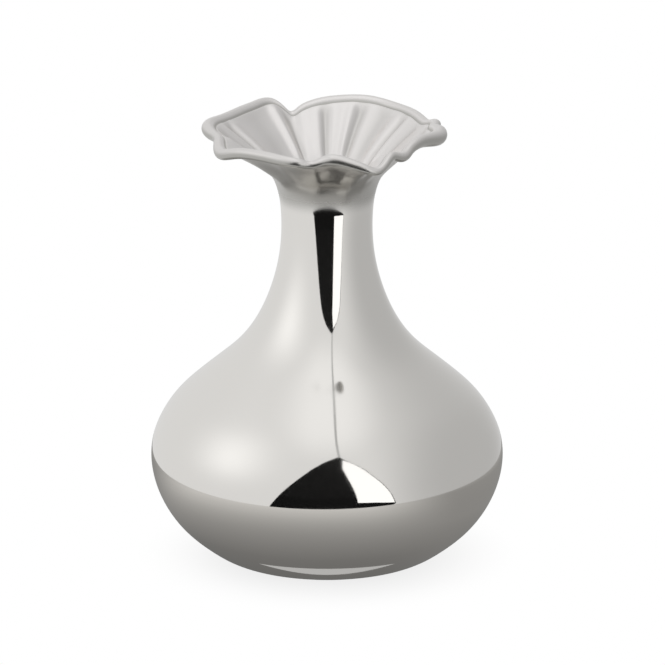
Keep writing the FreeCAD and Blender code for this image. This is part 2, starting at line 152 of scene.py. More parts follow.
def straight_run(start, end, count=1):
    """Follow a straight line between two points: it faces to the right of its own direction."""
    start, end = np.asarray(start, float), np.asarray(end, float)
    points = start + (end - start) * np.linspace(0, 1, count + 1)[:, None]
    facing = np.array([end[1] - start[1], start[0] - end[0]]) / np.linalg.norm(end - start)
    return points, np.tile(facing, (count + 1, 1))


def turned(runs, turns=TURN_STEPS):
    """Turn runs of an outline about the axis, up on the outside and down on the inside.

    A point at azimuth a is (radius sin a, -radius cos a, height). Each run keeps its own facing
    directions, so the corner between two runs stays crisp.
    """
    azimuth = np.arange(turns) * 2 * np.pi / turns

    def swept(flat):
        flat = np.asarray(flat)
        around = np.stack([np.sin(azimuth), -np.cos(azimuth)], axis=1)
        side = around[:, None, :] * flat[None, :, :1]
        height = np.broadcast_to(flat[None, :, 1:], side.shape[:2] + (1,))
        return np.concatenate([side, height], axis=2)
    points = np.concatenate([line[:-1] for line, _ in runs] + [runs[-1][0][-1:]])
    starts = np.concatenate([facing[:-1] for _, facing in runs])
    ends = np.concatenate([facing[1:] for _, facing in runs])
    return swept(points), swept(starts), swept(ends)


def piece_from_rows(name, points, starts, ends, marks=None):
    """Make one closed piece from a grid of points [turn, row], with facing directions per step.

    Rows that lie on the axis become one point each, and an outline that comes back to its first
    point shares that row. The facing directions are kept in the mesh, so the polish is smooth.
    Marks are named values, per row or per point, kept as attributes for the material.
    """
    turns, count = points.shape[:2]
    number = np.arange(turns)[:, None] * count + np.arange(count)[None, :]
    if np.allclose(points[:, 0], points[:, -1]):
        number[:, -1] = number[:, 0]
    on_axis = np.hypot(points[0, :, 0], points[0, :, 1]) < AXIS_REACH
    number[:, on_axis] = number[0, on_axis]
    used, compact = np.unique(number, return_inverse=True)
    number = compact.reshape(number.shape)
    following = np.roll(number, -1, axis=0)
    corners = np.stack([number[:, :-1], following[:, :-1], following[:, 1:], number[:, 1:]], axis=2)
    turned_starts, turned_ends = np.roll(starts, -1, axis=0), np.roll(ends, -1, axis=0)
    facing = np.stack([starts, turned_starts, turned_ends, ends], axis=2)
    low_tip, high_tip = on_axis[:-1], on_axis[1:]
    plain = ~(low_tip | high_tip)
    groups = [(corners[:, plain], facing[:, plain], [0, 1, 2, 3]),
              (corners[:, low_tip], facing[:, low_tip], [0, 2, 3]),
              (corners[:, high_tip], facing[:, high_tip], [0, 1, 2])]
    faces, directions = [], []
    for group, group_facing, kept in groups:
        faces += group[:, :, kept].reshape(-1, len(kept)).tolist()
        directions.append(group_facing[:, :, kept].reshape(-1, 3))
    mesh = bpy.data.meshes.new(name)
    mesh.from_pydata(points.reshape(-1, 3)[used].tolist(), [], faces)
    mesh.polygons.foreach_set("use_smooth", np.ones(len(faces), bool))
    mesh.normals_split_custom_set(np.concatenate(directions).tolist())
    for title, rows in (marks or {}).items():
        values = np.broadcast_to(rows, (turns, count)).reshape(-1)[used]
        mesh.attributes.new(title, "FLOAT", "POINT").data.foreach_set("value", values)
    mesh.update()
    piece = bpy.data.objects.new(name, mesh)
    bpy.context.scene.collection.objects.link(piece)
    return piece


SEAM = place_at_height(BELLY_HEIGHT)
COLLAR = place_at_height(COLLAR_HEIGHT)
MOUTH_SEAM = place_at_height(MOUTH_SEAM_HEIGHT)


def at(place, depth):
    """Give the one point at a depth inside the body line."""
    return wall_run(place, place + LINE_STEP, depth)[0][0]


bowl_underside = straight_run((0, BASE_HEIGHT), at(0, 0), FLAT_STEPS)
bowl_outside = wall_run(0, SEAM, 0)
bowl_lip = straight_run(at(SEAM, 0), at(SEAM, TONGUE_FACE))
bowl_tongue_face = wall_run(SEAM, SEAM + LAP_LENGTH, TONGUE_FACE)
bowl_tongue_end = straight_run(at(SEAM + LAP_LENGTH, TONGUE_FACE), at(SEAM + LAP_LENGTH, TONGUE_BACK))
bowl_tongue_back = wall_run(SEAM + LAP_LENGTH, SEAM - LAP_LEAD / 2, TONGUE_BACK)
bowl_lead = straight_run(at(SEAM - LAP_LEAD / 2, TONGUE_BACK), at(SEAM - LAP_LEAD, SHEET))
bowl_inside = wall_run(SEAM - LAP_LEAD, 0, SHEET)
bowl_floor = straight_run(at(0, SHEET), (0, BASE_HEIGHT + SHEET), FLAT_STEPS)
lower_bowl = piece_from_rows("silver_lower_bowl", *turned([
    bowl_underside, bowl_outside, bowl_lip, bowl_tongue_face, bowl_tongue_end, bowl_tongue_back,
    bowl_lead, bowl_inside, bowl_floor]))
SILVER_COLOUR = (0.94, 0.92, 0.885, 1)
# Haze: the roughness that it spreads over, and the span of its noise. Ripples: how often they come
# per metre round the body and up it, and their height.
HAZE_ROUGHNESS, HAZE_SPAN = (0.0315, 0.099), (0.35, 0.8)
RIPPLE_STRETCH, RIPPLE_HEIGHT = (6, 6, 60), 0.05 * MM


def new_material(name):
    """Start a material, and give it and its tree."""
    material = bpy.data.materials.new(name)
    material.use_nodes = True
    return material, material.node_tree


def own_place(tree):
    """Give the place of a point in its piece's own frame."""
    return tree.nodes.new("ShaderNodeTexCoord").outputs["Object"]


def feed(tree, socket, source):
    """Link a socket to another one, or set it to a value."""
    if isinstance(source, bpy.types.NodeSocket):
        tree.links.new(source, socket)
    else:
        socket.default_value = source


def node_of(tree, kind, **sources):
    """Add a node of a kind and feed its inputs by name."""
    node = tree.nodes.new(kind)
    for name, source in sources.items():
        feed(tree, node.inputs[name.replace("_", " ")], source)
    return node


def patches(tree, result, span=(0, 1), **settings):
    """Add noise over the piece, and spread it: its own span becomes the span of the result."""
    noise = node_of(tree, "ShaderNodeTexNoise", Vector=own_place(tree), **settings)
    return node_of(tree, "ShaderNodeMapRange", Value=noise.outputs["Fac"], From_Min=span[0],
                   From_Max=span[1], To_Min=result[0], To_Max=result[1]).outputs["Result"]


def polished_silver():
    """Mirror polish with faint spinning ripples, a little haze in patches, and a warm-white tint."""
    material, tree = new_material("polished_silver")
    shader = tree.nodes["Principled BSDF"]
    shader.inputs["Base Color"].default_value = SILVER_COLOUR
    shader.inputs["Metallic"].default_value = 1
    haze = patches(tree, HAZE_ROUGHNESS, HAZE_SPAN, Scale=38, Detail=5, Roughness=0.6)
    stretch = node_of(tree, "ShaderNodeMapping", Vector=own_place(tree), Scale=RIPPLE_STRETCH)
    ripple = node_of(tree, "ShaderNodeTexNoise", Vector=stretch.outputs["Vector"], Scale=1.0, Detail=2)
    bump = node_of(tree, "ShaderNodeBump", Height=ripple.outputs["Fac"], Strength=0.25,
                   Distance=RIPPLE_HEIGHT)
    tree.links.new(haze, shader.inputs["Roughness"])
    tree.links.new(bump.outputs["Normal"], shader.inputs["Normal"])
    return material


silver = polished_silver()
lower_bowl.data.materials.append(silver)
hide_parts("lower_bowl")
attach(lower_bowl, "root")

# Shoulder. The upper half of the belly, spun from a second sheet and drawn in to a collar under
# the neck. It butts on the bowl at the girth, and the joint is soldered and polished until it
# no longer shows.
shoulder_shell = piece_from_rows("silver_shoulder", *turned([
    wall_run(SEAM, COLLAR, 0),
    straight_run(at(COLLAR, 0), at(COLLAR, SHEET)),
    wall_run(COLLAR, SEAM, SHEET),
    straight_run(at(SEAM, SHEET), at(SEAM, 0))]))
shoulder_shell.data.materials.append(silver)
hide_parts("shoulder_shell")
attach(shoulder_shell, "root")

# Neck. A waisted tube of the same sheet. Its tongue drops inside the shoulder's collar, and the
# mouth's spigot fits inside its top.
TONGUE_END = COLLAR - LAP_LENGTH
neck_tube = piece_from_rows("silver_neck", *turned([
    wall_run(COLLAR, MOUTH_SEAM, 0),
    straight_run(at(MOUTH_SEAM, 0), at(MOUTH_SEAM, SHEET)),
    wall_run(MOUTH_SEAM, COLLAR + LAP_LEAD, SHEET),
    straight_run(at(COLLAR + LAP_LEAD, SHEET), at(COLLAR + LAP_LEAD / 2, TONGUE_BACK)),
    wall_run(COLLAR + LAP_LEAD / 2, TONGUE_END, TONGUE_BACK),
    straight_run(at(TONGUE_END, TONGUE_BACK), at(TONGUE_END, TONGUE_FACE)),
    wall_run(TONGUE_END, COLLAR, TONGUE_FACE),
    straight_run(at(COLLAR, TONGUE_FACE), at(COLLAR, 0))]))
neck_tube.data.materials.append(silver)
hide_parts("neck_tube")
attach(neck_tube, "root")

# Mouth. A flared collar of sheet, fluted by hand with rounded pliers, with its edge rolled over a
# wire. Its foot shares the neck's mirror polish; the flare and the roll are satin, inside and
# underneath. Its spigot is soldered into the neck.
LIP_RADIUS = 64 * MM
LIP_HEIGHT = 240.75 * MM
RUFFLE_LIFT = 5 * MM
ROLL_RADIUS = 3.3 * MM
CREASE_DEPTH = 1.8 * MM
# How much of the deepest valleys shows on the underside. Shallow ones hardly show, ridges don't.
UNDERSIDE_SHARE = 0.48
LIP_SLOPE = math.radians(26)
MOUTH_TURNS = 600
# Rows of points up the underside, steps round the roll, and rows down the inside: close together
# beside the roll, and wider apart from the close share of the wall down to the seam.
UNDER_ROWS, ROLL_STEPS, CLOSE_ROWS, WIDE_ROWS = 41, 30, 18, 46
CLOSE_SHARE = 0.93
# Azimuth from the front towards +X in degrees, then shares of the lip radius, of the ruffle lift
# and of the roll radius.
LIP_SHARES = np.array([
    (2, 1.031, 0.06, 1), (9, 1.056, -0.16, 0.97), (14, 1.094, -0.48, 0.88), (18, 1.128, -0.8, 0.76),
    (21, 1.141, -1, 0.67), (24, 1.116, -0.8, 0.64), (28, 1.059, -0.28, 0.67), (32, 1.016, -0.04, 0.73),
    (36, 0.994, -0.24, 0.79), (40, 0.975, -0.48, 0.82), (46, 0.931, -0.2, 0.85), (53, 0.906, 0.12, 0.91),
    (63, 0.894, 0.12, 1.06), (72, 0.922, -0.06, 1.21), (80, 0.95, -0.12, 1.27), (86, 0.938, 0.04, 1.15),
    (93, 0.903, 0.06, 0.94), (99, 0.928, 0.24, 0.85), (104, 0.922, 0.08, 0.82),
    (110, 0.916, -0.24, 0.79), (121, 0.931, -0.24, 0.85), (134, 0.984, -0.12, 0.91),
    (144, 1.031, -0.08, 0.94), (152, 1.053, 0.08, 0.97), (160, 1.044, 0.28, 1), (168, 1.013, 0.32, 1),
    (176, 0.978, 0.22, 1.03), (184, 0.956, 0, 1.06), (191, 0.944, -0.36, 1.03),
    (196.5, 0.925, -0.8, 0.94), (200, 0.931, -1.04, 0.88), (203, 0.966, -0.44, 0.88),
    (206.5, 1.019, 0.16, 0.91), (211, 1.038, 0.34, 0.94), (218, 1.009, 0.22, 0.97),
    (227, 0.981, 0.08, 1), (238, 0.967, -0.04, 1), (249, 0.978, -0.04, 1.03), (258, 1.003, 0.04, 1.09),
    (266, 1.005, -0.02, 1.09), (273, 0.975, -0.16, 0.97), (280, 0.944, -0.2, 0.85),
    (288, 0.953, -0.24, 0.85), (295, 0.994, -0.48, 0.94), (301, 1.034, -0.72, 1),
    (307, 1.056, -0.52, 0.94), (315, 1.053, -0.08, 0.91), (325, 1.044, 0.1, 0.91),
    (334, 1.053, 0.04, 0.91), (342, 1.069, -0.1, 0.88), (349, 1.059, -0.3, 0.76),
    (353, 1.034, -0.44, 0.67), (357, 1.028, -0.16, 0.85),
])
# Flutes: azimuth in degrees, share of the crease depth (a valley is negative), half width.
CREASE_SHARES = np.array([
    (12, -0.55, 5), (30, 1.2, 4), (77, 0.55, 5), (93, -0.7, 4), (115, -0.8, 3), (126, 0.8, 3),
    (131.5, -0.95, 3), (138, 0.55, 3.5), (148, -0.6, 6), (161.3, -1.05, 3), (166, 0.6, 3.5),
    (175, 0.35, 4), (181, -1, 3), (188, 0.35, 4), (203.5, -1, 3), (209.5, 1, 3.5), (226, -0.3, 8),
    (247, 0.7, 3.5), (251.5, -0.95, 3), (257, 0.4, 3.5), (265, -0.8, 3), (281, 0.95, 5),
    (305, -0.55, 5), (330, -0.55, 6), (353, 0.8, 4),
])
# Inner line of the wall from its seam to the roll: place, share of the growth, share of the rise.
FLARE_SHARES = np.array([
    (0, 0, 0), (0.084, 0.018, 0.112), (0.168, 0.055, 0.22), (0.293, 0.142, 0.375),
    (0.411, 0.252, 0.485), (0.518, 0.365, 0.572), (0.671, 0.545, 0.703), (0.819, 0.75, 0.835),
    (1, 1, 1),
])
CREASE_GROWTH_SHARES = (0.12, 0.5)
CREASE_FADE_SHARES = (0.86, 0.985)
# The groove beside the roll: its place along the wall, its half width there, and its depth.
GROOVE_PLACE, GROOVE_WIDTH = 0.967, 0.013
GROOVE_DEPTH = 0.8 * MM
# How much painted shade each place gets: under the flare, round the roll, in the flute valleys
# and in the groove. The roll has two values, for its top and for its underside, and shares of its
# turn between which the one becomes the other. The underside of the wall has shares over which
# satin sets in, the painted shade sets in, and the painted shade goes.
UNDER_PAINTED_SHADE, ROLL_PAINTED_SHADE, VALLEY_PAINTED_SHADE, GROOVE_PAINTED_SHADE = 0.8, (0.14, 0.85), 0.45, 0.85
ROLL_SHADE_SHARES = (0.26, 0.42)
UNDER_SATIN_SHARES, UNDER_PAINTED_SHADE_SHARES, UNDER_CLEAR_SHARES = (0, 0.2), (0, 0.16), (0.65, 0.95)
# The powers of the place with which the lip's own reach and lift set in, and the shares of the wall
# over which it thins from its seam to one sheet.
REACH_POWER = 2
LIFT_POWER = 2.4
THINNING_SHARES = (0.04, 0.36)
AZIMUTH_STEP = 0.25
PLACE_STEP_SHARE = 0.005
FULL_TURN = 360


def round_the_lip():
    """Give the smooth function of azimuth through the lip's shares, the same after a full turn."""
    wrapped = 8
    before, after = LIP_SHARES[-wrapped:].copy(), LIP_SHARES[:wrapped].copy()
    before[:, 0] -= FULL_TURN
    after[:, 0] += FULL_TURN
    rows = np.concatenate([before, LIP_SHARES, after])
    line = smooth_through(rows[:, 0], rows[:, 1:])
    first = LIP_SHARES[0, 0]
    return lambda azimuth: line((azimuth - first) % FULL_TURN + first)


LIP = round_the_lip()
FLARE = smooth_through(FLARE_SHARES[:, 0], FLARE_SHARES[:, 1:])


def ramp(place, limits):
    """Climb from 0 to 1 between two limits: three times the square less twice the cube."""
    share = np.clip((place - limits[0]) / (limits[1] - limits[0]), 0, 1)
    return share * share * (3 - 2 * share)


def flutes(azimuth, place):
    """Sum the flutes: each is a bell curve across, and all fade at the throat and by the roll."""
    away = (azimuth[..., None] - CREASE_SHARES[:, 0] + FULL_TURN / 2) % FULL_TURN - FULL_TURN / 2
    bells = np.exp(-(away / CREASE_SHARES[:, 2]) ** 2) @ CREASE_SHARES[:, 1]
    return CREASE_DEPTH * bells * ramp(place, CREASE_GROWTH_SHARES) * (1 - ramp(place, CREASE_FADE_SHARES))


def flutes_underneath(azimuth, place):
    """Give the underside's valleys: the square of a flute's depth as a share of the crease depth."""
    depth = np.minimum(flutes(azimuth, place), 0)
    return -UNDERSIDE_SHARE * depth ** 2 / CREASE_DEPTH


def groove(place):
    """Give the groove beside the roll: a bell curve along the wall."""
    return np.exp(-((place - GROOVE_PLACE) / GROOVE_WIDTH) ** 2)


def mouth_inside(azimuth, place, fluted=flutes, grooved=False):
    """Give points of the inner face, from the seam at place 0 to the top of the roll at place 1.

    Radius and height grow as the flare's shares say. On top of that each azimuth adds its own
    reach and lift, times a power of the place, so the throat stays round and the lip ruffles.
    """
    azimuth, place = np.broadcast_arrays(np.asarray(azimuth, float), np.asarray(place, float))
    reach, lift, roll = np.moveaxis(LIP(azimuth) * (LIP_RADIUS, RUFFLE_LIFT, ROLL_RADIUS), -1, 0)
    low = at(MOUTH_SEAM, TONGUE_BACK)
    mean_radius = LIP_RADIUS - ROLL_RADIUS * math.sin(LIP_SLOPE)
    mean_height = LIP_HEIGHT + ROLL_RADIUS * math.cos(LIP_SLOPE)
    extra_radius = reach - roll * math.sin(LIP_SLOPE) - mean_radius
    extra_height = LIP_HEIGHT + lift + roll * math.cos(LIP_SLOPE) - mean_height
    growth, rise = np.moveaxis(FLARE(place), -1, 0)
    radius = low[0] + (mean_radius - low[0]) * growth + extra_radius * place ** REACH_POWER
    height = low[1] + (mean_height - low[1]) * rise + extra_height * place ** LIFT_POWER
    if fluted:
        height = height + fluted(azimuth, place)
    if grooved:
        height = height - GROOVE_DEPTH * groove(place)
    angle = np.radians(azimuth)
    return np.stack([radius * np.sin(angle), -radius * np.cos(angle), height], axis=-1)


def unit(vectors):
    """Scale vectors to length one."""
    return vectors / np.linalg.norm(vectors, axis=-1, keepdims=True)


def mouth_facing(azimuth, place, fluted=flutes):
    """Give the inner face's direction: the climb crossed with the way round."""
    across = (mouth_inside(azimuth + AZIMUTH_STEP, place, fluted)
              - mouth_inside(azimuth - AZIMUTH_STEP, place, fluted))
    climb = (mouth_inside(azimuth, np.minimum(place + PLACE_STEP_SHARE, 1), fluted)
             - mouth_inside(azimuth, np.maximum(place - PLACE_STEP_SHARE, 0), fluted))
    return unit(np.cross(climb, across))


def last_climb(azimuth):
    """Give the inner face's last small step up to the top of the roll."""
    return mouth_inside(azimuth, 1.0, None) - mouth_inside(azimuth, 1 - PLACE_STEP_SHARE, None)


def rolled_edge(azimuth):
    """Carry a circle round the lip: centre plus radius times (cosine out plus sine up).

    It starts at the top, where the inner wall meets it, and goes outwards and under until it
    touches the wall's underside.
    """
    up = mouth_facing(azimuth, np.ones_like(azimuth), None)
    climb = last_climb(azimuth)
    out = unit(climb - up * np.sum(climb * up, axis=-1, keepdims=True))
    radius = ROLL_RADIUS * LIP(azimuth)[..., 2]
    tuck = -math.pi - np.arcsin((radius - SHEET) / radius)
    angle = math.pi / 2 + (tuck[:, None] - math.pi / 2) * np.linspace(0, 1, ROLL_STEPS + 1)
    centre = (mouth_inside(azimuth, 1.0, None) - up * radius[:, None])[:, None]
    spoke = out[:, None] * np.cos(angle)[..., None] + up[:, None] * np.sin(angle)[..., None]
    return centre + spoke * radius[:, None, None]


def roll_contact(azimuth):
    """Give the place where the roll touches the wall's underside.

    It lies inwards of the roll's centre by the root of radius squared less (radius less sheet)
    squared, and the inner face's speed turns that length into a share.
    """
    radius = ROLL_RADIUS * LIP(azimuth)[..., 2]
    speed = np.linalg.norm(last_climb(azimuth), axis=-1) / PLACE_STEP_SHARE
    return 1 - np.sqrt(radius ** 2 - (radius - SHEET) ** 2) / speed


def facing_of(points):
    """Give a grid's facing directions from its own slopes: the way round crossed with the way along.

    The way along is measured against the mean distance between rows.
    """
    wrapped = np.concatenate([points[-1:], points, points[:1]])
    gaps = np.linalg.norm(np.diff(points, axis=1), axis=2).mean(axis=0)
    distances = np.concatenate([[0], np.cumsum(gaps)])
    along = np.gradient(points, distances, axis=1, edge_order=2)
    return unit(np.cross(wrapped[2:] - wrapped[:-2], along))


def mouth_outline():
    """Join the mouth's runs into one closed outline at each azimuth, with directions and marks.

    The runs are the underside up to the roll, the roll and the inner face down to the seam, and
    the spigot. The underside lies one wall's thickness below the inner face, square to it.
    """
    azimuth = np.arange(MOUTH_TURNS) * FULL_TURN / MOUTH_TURNS
    up = np.linspace(0, 1, UNDER_ROWS)[None, :] * roll_contact(azimuth)[:, None]
    down = np.concatenate([np.linspace(1, CLOSE_SHARE, CLOSE_ROWS)[:-1],
                           np.linspace(CLOSE_SHARE, 0, WIDE_ROWS)])[None, :]
    roll = rolled_edge(azimuth)[:, ::-1]
    wall = SHEET + (TONGUE_BACK - SHEET) * (1 - ramp(up, THINNING_SHARES))
    under = (mouth_inside(azimuth[:, None], up, flutes_underneath)
             - mouth_facing(azimuth[:, None], up, flutes_underneath) * wall[..., None])
    seam_run = wall_run(MOUTH_SEAM, MOUTH_SEAM + LINE_STEP, 0)
    under[:, 0] = turned([seam_run], MOUTH_TURNS)[0][:, 0]
    under[:, -1] = roll[:, 0]
    inside = mouth_inside(azimuth[:, None], down, grooved=True)
    inside[:, 0] = roll[:, -1]
    top = np.concatenate([roll[:, :-1], inside], axis=1)
    end = MOUTH_SEAM - LAP_LENGTH
    spigot, spigot_starts, spigot_ends = turned([
        wall_run(MOUTH_SEAM, end, TONGUE_BACK),
        straight_run(at(end, TONGUE_BACK), at(end, TONGUE_FACE)),
        wall_run(end, MOUTH_SEAM, TONGUE_FACE),
        straight_run(at(MOUTH_SEAM, TONGUE_FACE), at(MOUTH_SEAM, 0))], MOUTH_TURNS)
    top[:, -1] = spigot[:, 0]
    points = np.concatenate([under[:, :-1], top[:, :-1], spigot], axis=1)
    under_facing, top_facing = facing_of(under), facing_of(top)
    starts = np.concatenate([under_facing[:, :-1], top_facing[:, :-1], spigot_starts], axis=1)
    ends = np.concatenate([under_facing[:, 1:], top_facing[:, 1:], spigot_ends], axis=1)
    under_end = UNDER_ROWS - 1
    roll_end = under_end + ROLL_STEPS
    inside_end = roll_end + down.size
    satin, painted_shade = np.ones(points.shape[1]), np.zeros(points.shape[:2])
    satin[:under_end] = ramp(up.mean(axis=0)[:-1], UNDER_SATIN_SHARES)
    # Painted shade under the flare, fading out towards the roll; round the roll, darker towards its
    # underside; in the flute valleys; and in the groove beside the roll.
    painted_shade[:, :under_end] = (UNDER_PAINTED_SHADE * ramp(up, UNDER_PAINTED_SHADE_SHARES)
                             * (1 - ramp(up, UNDER_CLEAR_SHARES)))[:, :-1]
    shaded = ramp(np.linspace(1, 0, ROLL_STEPS + 1)[:-1], ROLL_SHADE_SHARES)
    painted_shade[:, under_end:roll_end] = ROLL_PAINTED_SHADE[0] + (ROLL_PAINTED_SHADE[1] - ROLL_PAINTED_SHADE[0]) * shaded
    valleys = np.clip(-flutes(azimuth[:, None], down) / CREASE_DEPTH, 0, 1)
    painted_shade[:, roll_end:inside_end] = VALLEY_PAINTED_SHADE * valleys + GROOVE_PAINTED_SHADE * groove(down)
    return points, starts, ends, {"satin": satin, "painted_shade": painted_shade}


ruffled_mouth = piece_from_rows("silver_mouth", *mouth_outline())
SATIN_COLOUR = (0.945, 0.92, 0.905, 1)
SATIN_ROUGHNESS, GRAIN_SPAN = (0.285, 0.315), (0.3, 0.7)
# The grey-green of the painted shade.
PAINTED_SHADE_COLOUR = (0.5, 0.495, 0.465, 1)


def marked(tree, mark):
    """Read one of the mesh's marks."""
    node = tree.nodes.new("ShaderNodeAttribute")
    node.attribute_name = mark
    return node.outputs["Fac"]


def fed(tree, node, *sources):
    """Feed a node's open inputs in order, and give its first open output."""
    for socket, source in zip([socket for socket in node.inputs if socket.enabled], sources):
        feed(tree, socket, source)
    return next(socket for socket in node.outputs if socket.enabled)


def blended(tree, kind, *sources):
    """Blend two sources by a share, which comes first: FLOAT for numbers, RGBA for colours."""
    node = tree.nodes.new("ShaderNodeMix")
    node.data_type = kind
    return fed(tree, node, *sources)


def satin_and_polish():
    """Satin silver where the satin mark is 1, mirror polish where it is 0, blended between.

    The painted-shade mark darkens the colour where shade falls: the underside of the flare and of
    the roll, the groove beside the roll, and the bottoms of the flutes.
    """
    material = silver.copy()
    material.name = "mouth_silver"
    tree = material.node_tree
    shader = tree.nodes["Principled BSDF"]
    polish = shader.inputs["Roughness"].links[0].from_socket
    grain = patches(tree, SATIN_ROUGHNESS, GRAIN_SPAN, Scale=700, Detail=3)
    satin = marked(tree, "satin")
    colour = blended(tree, "RGBA", satin, SILVER_COLOUR, SATIN_COLOUR)
    # Painted shade darkens the colour as its mark says.
    painted_shade = blended(tree, "RGBA", marked(tree, "painted_shade"), colour, PAINTED_SHADE_COLOUR)
    tree.links.new(blended(tree, "FLOAT", satin, polish, grain), shader.inputs["Roughness"])
    tree.links.new(painted_shade, shader.inputs["Base Color"])
    return material


ruffled_mouth.data.materials.append(satin_and_polish())
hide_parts("ruffled_mouth")
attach(ruffled_mouth, "root")

# Rim wire. A ring of drawn brass wire that runs inside the rolled edge and keeps the ruffles in
# shape. It is closed in all round, so only its finish is set here.
BRASS_COLOUR = (0.78, 0.60, 0.30, 1)
FILM_ROUGHNESS = (0.22, 0.48)


def drawn_brass():
    """Brass with a dull film in fine patches."""
    material, tree = new_material("drawn_brass")
    shader = tree.nodes["Principled BSDF"]
    shader.inputs["Metallic"].default_value = 1
    shader.inputs["Base Color"].default_value = BRASS_COLOUR
    tree.links.new(patches(tree, FILM_ROUGHNESS, Scale=220, Detail=4), shader.inputs["Roughness"])
    return material


def finish_node(name, material):
    """Give a CAD piece that stays as it is a new material in its own slots."""
    for holder in bpy.data.objects[name].material_slots:
        holder.link = "OBJECT"
        holder.material = material


finish_node("rim_wire", drawn_brass())

# Foot ring. A flat ring turned from brass, silver-plated and soldered under the bowl. Its outer
# lower edge is rounded, and it stays clear of the table.
finish_node("foot_ring", silver)

# Felt. A disc of pressed wool felt, glued inside the foot ring. It is a little thicker than the
# ring, so the vase stands on the felt and can't scratch the table.
FELT_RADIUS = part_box("felt_pad")[1].x
FELT_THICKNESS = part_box("felt_pad")[1].z
FELT_EDGE = 0.35 * MM
FELT_EDGE_POINTS, FELT_FLAT_STEPS, FELT_TURNS = 9, 24, 240
# Two greens, and the span of the noise over which the first becomes the second.
FELT_COLOURS = ((0.018, 0.05, 0.032, 1), (0.035, 0.085, 0.055, 1))
FELT_COLOUR_SPAN = (0.35, 0.7)
FELT_ROUGHNESS, FELT_SHEEN = 0.95, 0.4
FUZZ_HEIGHT = 0.3 * MM


def felt_disc():
    """Turn a flat disc whose edge is a half-round arc: radius minus edge times (1 - cosine)."""
    angle = np.linspace(-math.pi / 2, math.pi / 2, FELT_EDGE_POINTS)
    arc = np.stack([FELT_RADIUS - FELT_EDGE * (1 - np.cos(angle)),
                    FELT_THICKNESS / 2 + np.sin(angle) * FELT_THICKNESS / 2], axis=1)
    facing = np.stack([np.cos(angle), np.sin(angle)], axis=1)
    return turned([straight_run((0, 0), arc[0], FELT_FLAT_STEPS), (arc, facing),
                   straight_run(arc[-1], (0, FELT_THICKNESS), FELT_FLAT_STEPS)], FELT_TURNS)


def wool_felt():
    """Matted wool: twisted noise for its fibres sets the colour and a fuzzy bump."""
    material, tree = new_material("wool_felt")
    shader = tree.nodes["Principled BSDF"]
    shader.inputs["Roughness"].default_value = FELT_ROUGHNESS
    shader.inputs["Sheen Weight"].default_value = FELT_SHEEN
    fibres = node_of(tree, "ShaderNodeTexNoise", Vector=own_place(tree), Scale=1400, Detail=6,
                     Distortion=2.5).outputs["Fac"]
    colour = node_of(tree, "ShaderNodeValToRGB", Fac=fibres)
    for step, place, green in zip(colour.color_ramp.elements, FELT_COLOUR_SPAN, FELT_COLOURS):
        step.position = place
        step.color = green
    bump = node_of(tree, "ShaderNodeBump", Height=fibres, Strength=0.7, Distance=FUZZ_HEIGHT)
    tree.links.new(colour.outputs["Color"], shader.inputs["Base Color"])
    tree.links.new(bump.outputs["Normal"], shader.inputs["Normal"])
    return material


felt_pad = piece_from_rows("felt_disc", *felt_disc())
felt_pad.data.materials.append(wool_felt())
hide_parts("felt_pad")
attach(felt_pad, "root")

# Table and light tent. A pale floor, white towards the background and shaded under the vase. The
# polish shows a round grey table top with a paler arc in front of the foot, the tent around it,
# brighter on the left, and the tent's opening with its seam. None of this is part of the vase.
WHITE = (1, 1, 1, 1)
FLOOR_COLOUR = (0.86, 0.86, 0.86, 1)
FLOOR_HALF = 6.0
# The shadow fades between two distances from the axis. Within the first, this much white is left.
SHADOW_REACH, SHADOW_WHITE = (0.045, 0.11), 0.82
CARD_LIFT = 0.1 * MM
RING_STEPS = 120
TABLE_HOLE, TABLE_RADIUS, TABLE_CENTRE = 1 * MM, 0.255, (0.01, 0.025)
# Distance from the axis as a share of the shades' span, then the table's brightness: on its lit
# side to the left and front, and on its shaded side to the right and back.
SHADE_SPAN = 0.5
LIT_SHADES = ((0.11, 0.14), (0.16, 0.17), (0.24, 0.28), (0.35, 0.46), (0.44, 0.56))
SHADED_SHADES = ((0.11, 0.17), (0.24, 0.25), (0.46, 0.27), (0.6, 0.37))
TABLE_TINT = (1, 0.985, 0.96)
# The shaded side's direction, and the cosines to it between which the lit side turns into it.
SHADED_DIRECTION, SHADE_TURN = (0.5, 0.866, 0), (-0.75, 0.3)
# The paler arc: its radii, its reach from the front each way in degrees, its centre and its glow.
PALE_RADII, PALE_REACH, PALE_CENTRE, PALE_GLOW = (0.0602, 0.0668), 38, (0, -0.003), 0.47
# The opening stands in front of the vase, and its bright side a little nearer. Outlines are given
# across, and up from the table.
OPENING_DISTANCE, BRIGHT_SIDE_LEAD = 0.60, 1 * MM
OPENING_COLOUR, BRIGHT_SIDE_GLOW = (0.012, 0.012, 0.012, 1), 1.1
OPENING = [(-0.44, -0.225), (-0.36, -0.24), (0.49, -0.24), (0.565, -0.205), (0.484, 0.007),
           (0.394, 0.219), (0.29, 0.43), (0.225, 0.51), (0.165, 0.56), (0.125, 0.60),
           (0.10, 0.64), (0.07, 0.62), (-0.03, 0.53), (-0.11, 0.43), (-0.19, 0.286),
           (-0.30, 0.06)]
BRIGHT_SIDE = [(0.20, -0.08), (0.34, -0.11), (0.545, -0.18), (0.475, 0.01), (0.385, 0.22),
               (0.28, 0.43), (0.215, 0.51), (0.16, 0.555), (0.12, 0.58), (0.11, 0.45),
               (0.14, 0.28), (0.165, 0.144), (0.185, 0.03)]
# The seam goes up and over from the tip of the opening, along a quarter of an ellipse: half its
# width, its first height, its climb, and where it starts and ends across.
SEAM_HALF, SEAM_START, SEAM_CLIMB, SEAM_ENDS = 0.010, 0.63, 0.50, (0.10, 0.06)
SEAM_STEPS, SEAM_GLOW = 15, 0.42
# The tent's brightness to the left, to the right and overhead, and what its soft patch adds.
TENT_LEFT, TENT_RIGHT, TENT_TOP, TENT_PATCH = 0.71, 0.46, 0.88, 0.24
